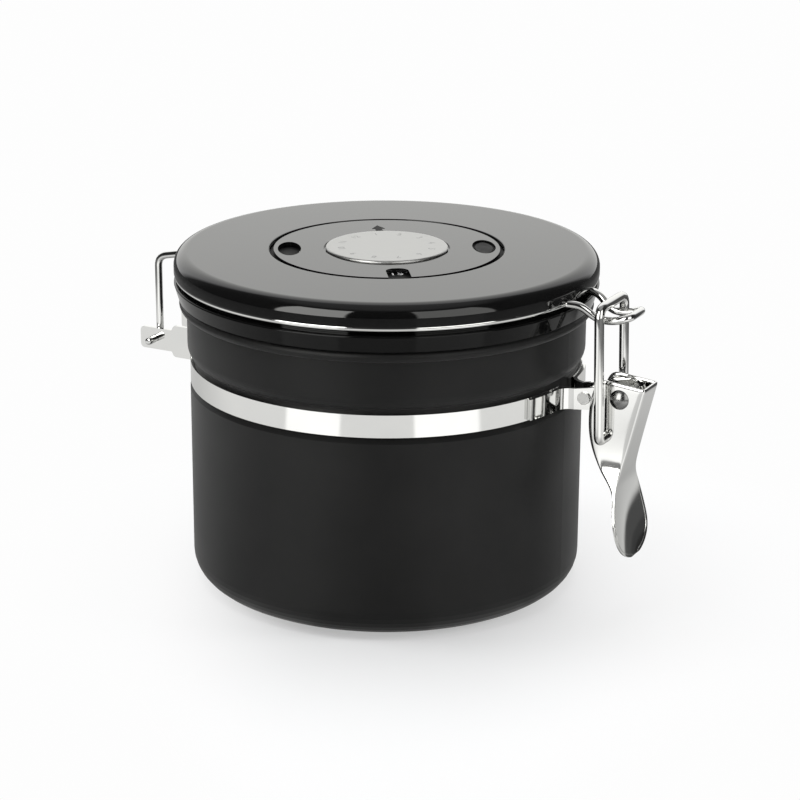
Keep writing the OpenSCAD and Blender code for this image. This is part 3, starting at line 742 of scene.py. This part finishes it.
def make_lid_wire():
    """Half the wire from hinge foot to nose tip, and its mirror image."""
    leave = math.asin(LEG_Y / RING_R)
    nose_root = math.radians(7.7)
    leg = [((HINGE_X, HINGE_HALF + 5, HINGE_Z), 0),
           ((HINGE_X, LEG_Y, HINGE_Z), 2.2),
           ((HINGE_X, LEG_Y, RING_Z - 3.3), 3.4),
           ((-(RING_R + 4), LEG_Y, RING_Z - 1.3), 2),
           ((-RING_R * math.cos(leave), LEG_Y, RING_Z), 1.8)]
    start = math.pi - leave - math.radians(3)
    end = nose_root + math.radians(2.5)
    arc = [on_ring(start + (end - start) * i / 90) for i in range(91)]
    nose = [(arc[-1], 0),
            (on_ring(nose_root), 1.8),
            ((RING_R + 4, NOSE_HALF + 1.8, RING_Z - 0.4), 2),
            ((TIP_X - 10.2, NOSE_HALF, NOSE_Z), 2.6),
            ((TIP_X - 5, NOSE_HALF, NOSE_Z), 2.4),
            ((TIP_X, NOSE_HALF, NOSE_Z + TIP_RISE), 3.6),
            ((TIP_X, 0, NOSE_Z + TIP_RISE), 0)]
    half = soft_path(leg + [(arc[0], 0)])[:-1] + arc + soft_path(nose)[1:-1]
    path = spaced(half) + list(reversed(spaced(mirrored(half))))
    wire = tube("lid_wire_round", path, LID_WIRE_D / 2, "lid", STEEL, "steel")
    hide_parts("lid_wire")


def make_bail():
    """The loop that the lever pulls down over the nose."""
    half = [((HOLE_X, LEVER_HALF - 1.9, HOLE_Z), 0),
            ((HOLE_X, BAIL_HALF, HOLE_Z), 2.4),
            ((BAR_X, BAIL_HALF, BAR_Z), 3.4)]
    other = [((x, -y, z), size) for (x, y, z), size in reversed(half)]
    wire = tube("bail_round", spaced(soft_path(half + other)), BAIL_D / 2, "bail_loop", STEEL, "steel")
    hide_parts("bail")


# ---------------------------------------------------------------- lid shells
def make_cover():
    """The lid cover with a finely rounded edge, its dial pocket and the six screw posts inside."""
    foot = BASE_TOP + SHELL_SEAT
    hole_top = BASE_TOP + 5.4
    post_r = 3.4
    post_top = COVER_TOP - 1.8
    pocket_round = 0.25
    wall_in = WIRE_WAIST_R - LID_WALL
    pocket_out = POCKET_R + LID_WALL
    lip_in = RING_R + LID_WIRE_D / 2 + 0.03  # a thin lip hides the upper part of the wire
    lip_z = RING_Z + 0.45
    outline = [(HUB_R + PIN_FIT, POCKET_Z - WEB_T), (HUB_R + PIN_FIT, POCKET_Z), (POCKET_R, POCKET_Z)]
    outline += quarter(POCKET_R + pocket_round, COVER_TOP - pocket_round, pocket_round, 180, 90, 4)
    outline += quarter(LID_R - COVER_ROUND, COVER_TOP - COVER_ROUND, COVER_ROUND, 90, 0)
    outline += [(LID_R, lip_z + 0.1), (LID_R - 0.06, lip_z), (lip_in, lip_z), (lip_in, COVER_BOTTOM),
                (WIRE_WAIST_R, COVER_BOTTOM), (WIRE_WAIST_R, foot), (wall_in, foot),
                (wall_in, COVER_TOP - LID_WALL), (pocket_out, COVER_TOP - LID_WALL),
                (pocket_out, POCKET_Z - WEB_T)]
    post = [(SCREW_HOLE_R, foot), (SCREW_HOLE_R, hole_top), (AXIS_R, hole_top), (AXIS_R, post_top),
            (post_r, post_top), (post_r, foot)]
    verts, faces = turned(outline)
    for k in range(SCREW_COUNT):
        points, sides = turned(post, polar(SCREW_CIRCLE_R, 360 * (k + 0.5) / SCREW_COUNT), 32)
        faces += [tuple(i + len(verts) for i in side) for side in sides]
        verts += points
    cover = link_mesh("lid_cover_round", verts, faces, "lid", PLASTIC, "lid_plastic")
    crisp(cover.data)
    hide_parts("lid_cover")


def make_base():
    """The lower lid shell: vent well, deck, plug and the tapered skirt."""
    deck = BASE_TOP - DECK_T
    well_bottom = WELL_FLOOR - DECK_T
    well_out = WELL_R + DECK_T
    plug_round = 0.6
    foot_round = 0.32
    top_round = 0.5
    outline = [(VENT_HOLE, well_bottom), (well_out, well_bottom), (well_out, deck), (PLUG_R - LID_WALL, deck),
               (PLUG_R - LID_WALL, PLUG_BOTTOM), (PLUG_R - 0.5, PLUG_BOTTOM)]
    outline += quarter(PLUG_R - plug_round, PLUG_BOTTOM + plug_round, plug_round, -80, 0, 5)
    outline += [(PLUG_R, deck), (SKIRT_IN, deck), (SKIRT_IN, SKIRT_BOTTOM), (SKIRT_R - 0.2, SKIRT_BOTTOM)]
    outline += quarter(SKIRT_R - foot_round + 0.1, SKIRT_BOTTOM + foot_round, foot_round, -70, -10, 4)
    outline += quarter(LID_R - top_round, BASE_TOP - top_round, top_round, 0, 90, 8)
    outline += [(WELL_R, BASE_TOP), (WELL_R, WELL_FLOOR), (VENT_HOLE, WELL_FLOOR)]
    base = link_mesh("lid_base_round", *turned(outline), "lid", SHELL, "lid_plastic")
    crisp(base.data)
    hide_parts("lid_base")


# ---------------------------------------------------------------- dial
def window_notch():
    """The round-cornered inner end of the day window, for a window that points along x."""
    turns = [polar(WINDOW_ROUND, 270 - t) for t in range(0, 91, 10)]
    side = [(RING_OUT - WINDOW_L + WINDOW_ROUND + x, WINDOW_ROUND - WINDOW_HALF + y) for x, y in turns]
    return side + [(x, -y) for x, y in reversed(side)]


def make_day_ring():
    """The day ring with its two oval holes and the day window cut into its edge."""
    window = DIAL_TURN - 90
    half = math.degrees(math.asin(WINDOW_HALF / RING_OUT))
    outline = [polar(RING_OUT, window + half + (360 - 2 * half) * k / 150) for k in range(151)]
    outline += [spun(point, math.radians(window)) for point in window_notch()]
    holes = [oval(polar(HOLE_R, DIAL_TURN - HOLE_SHIFT + turn), HOLE_ACROSS, HOLE_ALONG) for turn in (0, 180)]
    stem_hole = STEM_R + PIN_FIT
    recess = COVER_TOP - DISC_SINK
    apart = 0.002  # keeps the two plates from merging into an inner wall
    whole = bmesh.new()
    add_plate(whole, [outline, circle(stem_hole)] + holes, COVER_TOP - RING_T, recess)
    add_plate(whole, [outline, circle(DISC_R + DISC_GAP)] + holes, recess + apart, COVER_TOP)
    hub_top = COVER_TOP - RING_T + 0.1
    hub_bottom = POCKET_Z - 3.4
    catch_top = POCKET_Z - 2.1
    add_turned(whole, [(stem_hole, hub_top), (stem_hole, hub_bottom), (HUB_R + 0.3, hub_bottom),
                       (HUB_R + 0.8, catch_top - 0.3), (HUB_R + 0.8, catch_top), (HUB_R, catch_top),
                       (HUB_R, hub_top)])
    dial_piece(whole, "day_ring_plate", "day_dial", PLASTIC, "day_ring")


def make_finger_pad():
    """The oval grip in one hole of the day ring: a step with a raised middle."""
    centre = polar(HOLE_R, DIAL_TURN - HOLE_SHIFT)
    step_z = COVER_TOP - 0.7
    step = oval(centre, HOLE_ACROSS - PAD_GAP, HOLE_ALONG - PAD_GAP)
    middle = oval(centre, 2.75, 6.6)
    whole = bmesh.new()
    add_plate(whole, [step], COVER_TOP - RING_T, step_z)
    add_plate(whole, [middle], step_z - 0.01, step_z + 0.3)
    dial_piece(whole, "finger_grip", "day_dial", FINGER_PAD, "finger_pad")


def make_month_disc():
    """The brushed disc with a rounded edge, on its stem."""
    under = DISC_TOP - 0.9
    stem_foot = POCKET_Z - 3.7
    hole_top = stem_foot + 4
    outline = [(SCREW_HOLE_R, stem_foot), (STEM_R, stem_foot), (STEM_R, under), (DISC_R, under)]
    outline += quarter(DISC_R - DISC_ROUND, DISC_TOP - DISC_ROUND, DISC_ROUND, 0, 90, 8)
    outline += [(AXIS_R, DISC_TOP), (AXIS_R, hole_top), (SCREW_HOLE_R, hole_top)]
    whole = bmesh.new()
    add_turned(whole, outline, 128)
    dial_piece(whole, "month_disc_round", "month_dial", DISC, "month_disc")


# ---------------------------------------------------------------- lever
# down the folded part: height of the front, then x and height of the side's inner edge, then half width
LEVER_ROWS = (
    (75.2, 76.6, 76.6, 5.5), (73.8, 74.5, 75.1, 5.5), (70.6, 73.0, 71.4, 5.5),
    (66.4, 72.3, 66.8, 5.5), (61.8, 72.2, 61.8, 5.52), (57.3, 72.7, 57.4, 5.6),
    (53.0, 74.1, 53.0, 5.8), (49.8, 75.9, 49.8, 6.15), (47.6, 77.3, 47.4, 6.6),
)
# down the paddle: distance from its root and height of its turned-in lip
PADDLE_LIPS = ((1.6, 2.8), (3.8, 1.4), (6.0, 0.7), (8.2, 0.35))
PADDLE_ROWS = (10.6, 13.2, 16.0, 18.6, 20.8, 22.7, 24.2, 25.3, 26.0, 26.35)
PADDLE_LIP = 0.25
# across half the sheet: share of the half width, and share of the way in to the side's edge
SHEET_ACROSS = ((-1.0, 1.0), (-1.0, 0.7), (-1.0, 0.4), (-1.0, 0.15), (-1.0, 0.055),
                (-0.93, 0.0), (-0.78, 0.0), (-0.5, 0.0), (-0.22, 0.0))


def paddle_half(u):
    """Half width of the paddle at u mm below its root."""
    wide = PADDLE_L * 0.64
    if u < wide:
        return WAIST_HALF + (PADDLE_HALF - WAIST_HALF) * (1 - (1 - u / wide) ** 1.8)
    return PADDLE_HALF * math.sqrt(max(0.0, 1 - ((u - wide) / (PADDLE_L - wide)) ** 2))


def folded_rows():
    """Rows of the folded part: middle of the front, edge of the side, half width, no dish."""
    slope = (WEB_TOP[0] - WEB_LOW[0]) / (WEB_TOP[1] - WEB_LOW[1])
    return [(Vector((WEB_LOW[0] + (z - WEB_LOW[1]) * slope, 0, z)), Vector((edge_x, 0, edge_z)), half, 0.0)
            for z, edge_x, edge_z, half in LEVER_ROWS]


def paddle_rows():
    """Rows of the dished paddle: middle, edge of the lip, half width, dish."""
    tilt = math.radians(PADDLE_TILT)
    down = Vector((math.sin(tilt), 0, -math.cos(tilt)))
    out = Vector((math.cos(tilt), 0, math.sin(tilt)))
    root = Vector((WEB_LOW[0] - LEVER_T / 2, 0, WEB_LOW[1]))
    dish = 1 / (2 * DISH_R)
    mid = PADDLE_L / 2
    rows = []
    for u, lip in PADDLE_LIPS + tuple((u, PADDLE_LIP) for u in PADDLE_ROWS):
        centre = root + down * u + out * (((u - mid) ** 2 - mid ** 2) * dish)
        rows.append((centre, centre - out * lip, paddle_half(u), dish))
    return rows


def make_lever():
    """The lever as one folded and dished sheet, its rows from the top edge to the tip of the paddle."""
    across = SHEET_ACROSS + ((0.0, 0.0),) + tuple((-share, depth) for share, depth in reversed(SHEET_ACROSS))
    rows = folded_rows() + paddle_rows()
    verts = []
    for front, edge, half, dish in rows:
        for share, depth in across:
            y = share * half
            point = front.lerp(edge, depth)
            verts.append((point.x + dish * y * y, y, point.z))
    n = len(across)
    faces = []
    for i in range(len(rows) - 1):
        for k in range(n - 1):
            a = i * n + k
            faces.append((a, a + n, a + n + 1, a + 1))
    lever = link_mesh("lever_sheet", verts, faces, "latch_lever", STEEL, "steel")
    thick = lever.modifiers.new("sheet", "SOLIDIFY")
    thick.thickness = LEVER_T * MM
    thick.offset = -1
    thick.use_even_offset = True
    smooth = lever.modifiers.new("round", "SUBSURF")
    smooth.levels = 2
    smooth.render_levels = 2
    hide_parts("lever")


# ---------------------------------------------------------------- printed numbers
PRINT_T = 0.02  # half thickness of the print
MONTHS = 12
MONTH_R = 14.4
MONTH_SIZE = 3.2
DAYS = 31
DAY_R = 26.0
DAY_SIZE = 4.6
DAY_SHOWN = 15  # the day in the window


def add_number(whole, number, r, angle, z, turn, size):
    """Adds a thin number to a bmesh, r mm from the middle at an angle in degrees."""
    curve = bpy.data.curves.new("number", "FONT")
    curve.body = str(number)
    curve.size = size * MM
    curve.align_x = "CENTER"
    curve.align_y = "CENTER"
    curve.extrude = PRINT_T * MM
    curve.resolution_u = 3
    add_curve(whole, curve, (*polar(r, angle), z), turn)


def make_month_numbers():
    whole = bmesh.new()
    for month in range(1, MONTHS + 1):
        angle = MONTH_TURN + 90 - 360 / MONTHS * (month - 1)
        add_number(whole, month, MONTH_R, angle, DISC_TOP - PRINT_T / 2, angle - 90, MONTH_SIZE)
    link_bmesh("month_numbers", whole, "month_dial", INK_GREY)


def make_day_numbers():
    whole = bmesh.new()
    for day in range(1, DAYS + 1):
        angle = DIAL_TURN - 90 + (DAY_SHOWN - day) * 360 / DAYS
        add_number(whole, day, DAY_R, angle, PLATE_TOP + 0.012, angle + 90, DAY_SIZE)
    link_bmesh("day_numbers", whole, "lid", INK_WHITE)


ARROW = ((20.4, -1.1), (20.4, 1.1), (24.2, 1.1), (24.2, 2.1), (28.4, 0.0), (24.2, -2.1), (24.2, -1.1))
ARROW_SINK = 0.02
ARROW_T = 0.09


def make_pointer():
    """The index mark on the day ring: a thin raised arrow, its points as distance out and aside."""
    angle = math.radians(DIAL_TURN + 90)
    out = Vector((math.cos(angle), math.sin(angle), 0))
    side = Vector((-math.sin(angle), math.cos(angle), 0))
    low = [out * r + side * t + Vector((0, 0, COVER_TOP - ARROW_SINK)) for r, t in ARROW]
    high = [p + Vector((0, 0, ARROW_T)) for p in low]
    n = len(ARROW)
    faces = [tuple(range(n, 2 * n)), tuple(reversed(range(n)))]
    faces += [(k, (k + 1) % n, n + (k + 1) % n, n + k) for k in range(n)]
    link_mesh("pointer", low + high, faces, "day_dial", INK_DARK, "lid_plastic", smooth=False)


# ---------------------------------------------------------------- the scene
bpy.context.scene.view_settings.view_transform = "Standard"
make_camera()
make_floor()
make_world()
for lamp in LAMPS:
    area_light(*lamp)

COAT = powder_coat()
PLASTIC = gloss_plastic("gloss_plastic", (0.004, 0.006), (0.045, 0.065), 0.5)
SHELL = gloss_plastic("shell_plastic", (0.003, 0.0045), (0.05, 0.07), 0.16)
DIAL_FLOOR = gloss_plastic("dial_floor", (0.0025, 0.0035), (0.5, 0.6), 0.08)
STEEL = polished_steel("polished_steel", (0.05, 0.09), 0.72)
# the lever pin's steel is given a dark tone, a painted dark reflection; its satin roughness is real
PIN = polished_steel("satin_steel_painted_dark", (0.2, 0.28), 0.25)
HEAD = polished_steel("rivet_steel", (0.3, 0.4), 0.6)
SCREW = brushed_steel("screw_steel", 0.5)
DISC = brushed_steel("disc_steel", 0.5)
RUBBER = silicone()
VENT_PLASTIC = matte_plastic("pad_plastic", 0.06)
FINGER_PAD = finger_pad_look()
INK_GREY = printed_paint("ink_grey", 0.26)
INK_WHITE = printed_paint("ink_white", 0.75)
INK_DARK = printed_paint("ink_dark", 0.02, 0.05)

LOOKS = {
    "canister_body": COAT, "neck_band": STEEL, "hinge_bracket": STEEL, "latch_cheeks": STEEL,
    "clamp_rivet": HEAD, "lever_pin": PIN, "lever": STEEL, "bail": STEEL, "lid_wire": STEEL,
    "lid_cover": PLASTIC, "lid_base": SHELL, "gasket": RUBBER, "lid_screws": SCREW,
    "day_plate": DIAL_FLOOR, "day_ring": PLASTIC, "finger_pad": FINGER_PAD, "month_disc": DISC,
    "dial_washer": SCREW, "dial_screw": SCREW, "vent_body": VENT_PLASTIC, "vent_flap": RUBBER,
    "vent_guard": PLASTIC,
}
for node, mat in LOOKS.items():
    paint(node, mat)

make_lid_wire()
make_bail()
make_cover()
make_base()
make_day_ring()
make_finger_pad()
make_month_disc()
make_lever()
make_month_numbers()
make_day_numbers()
make_pointer()
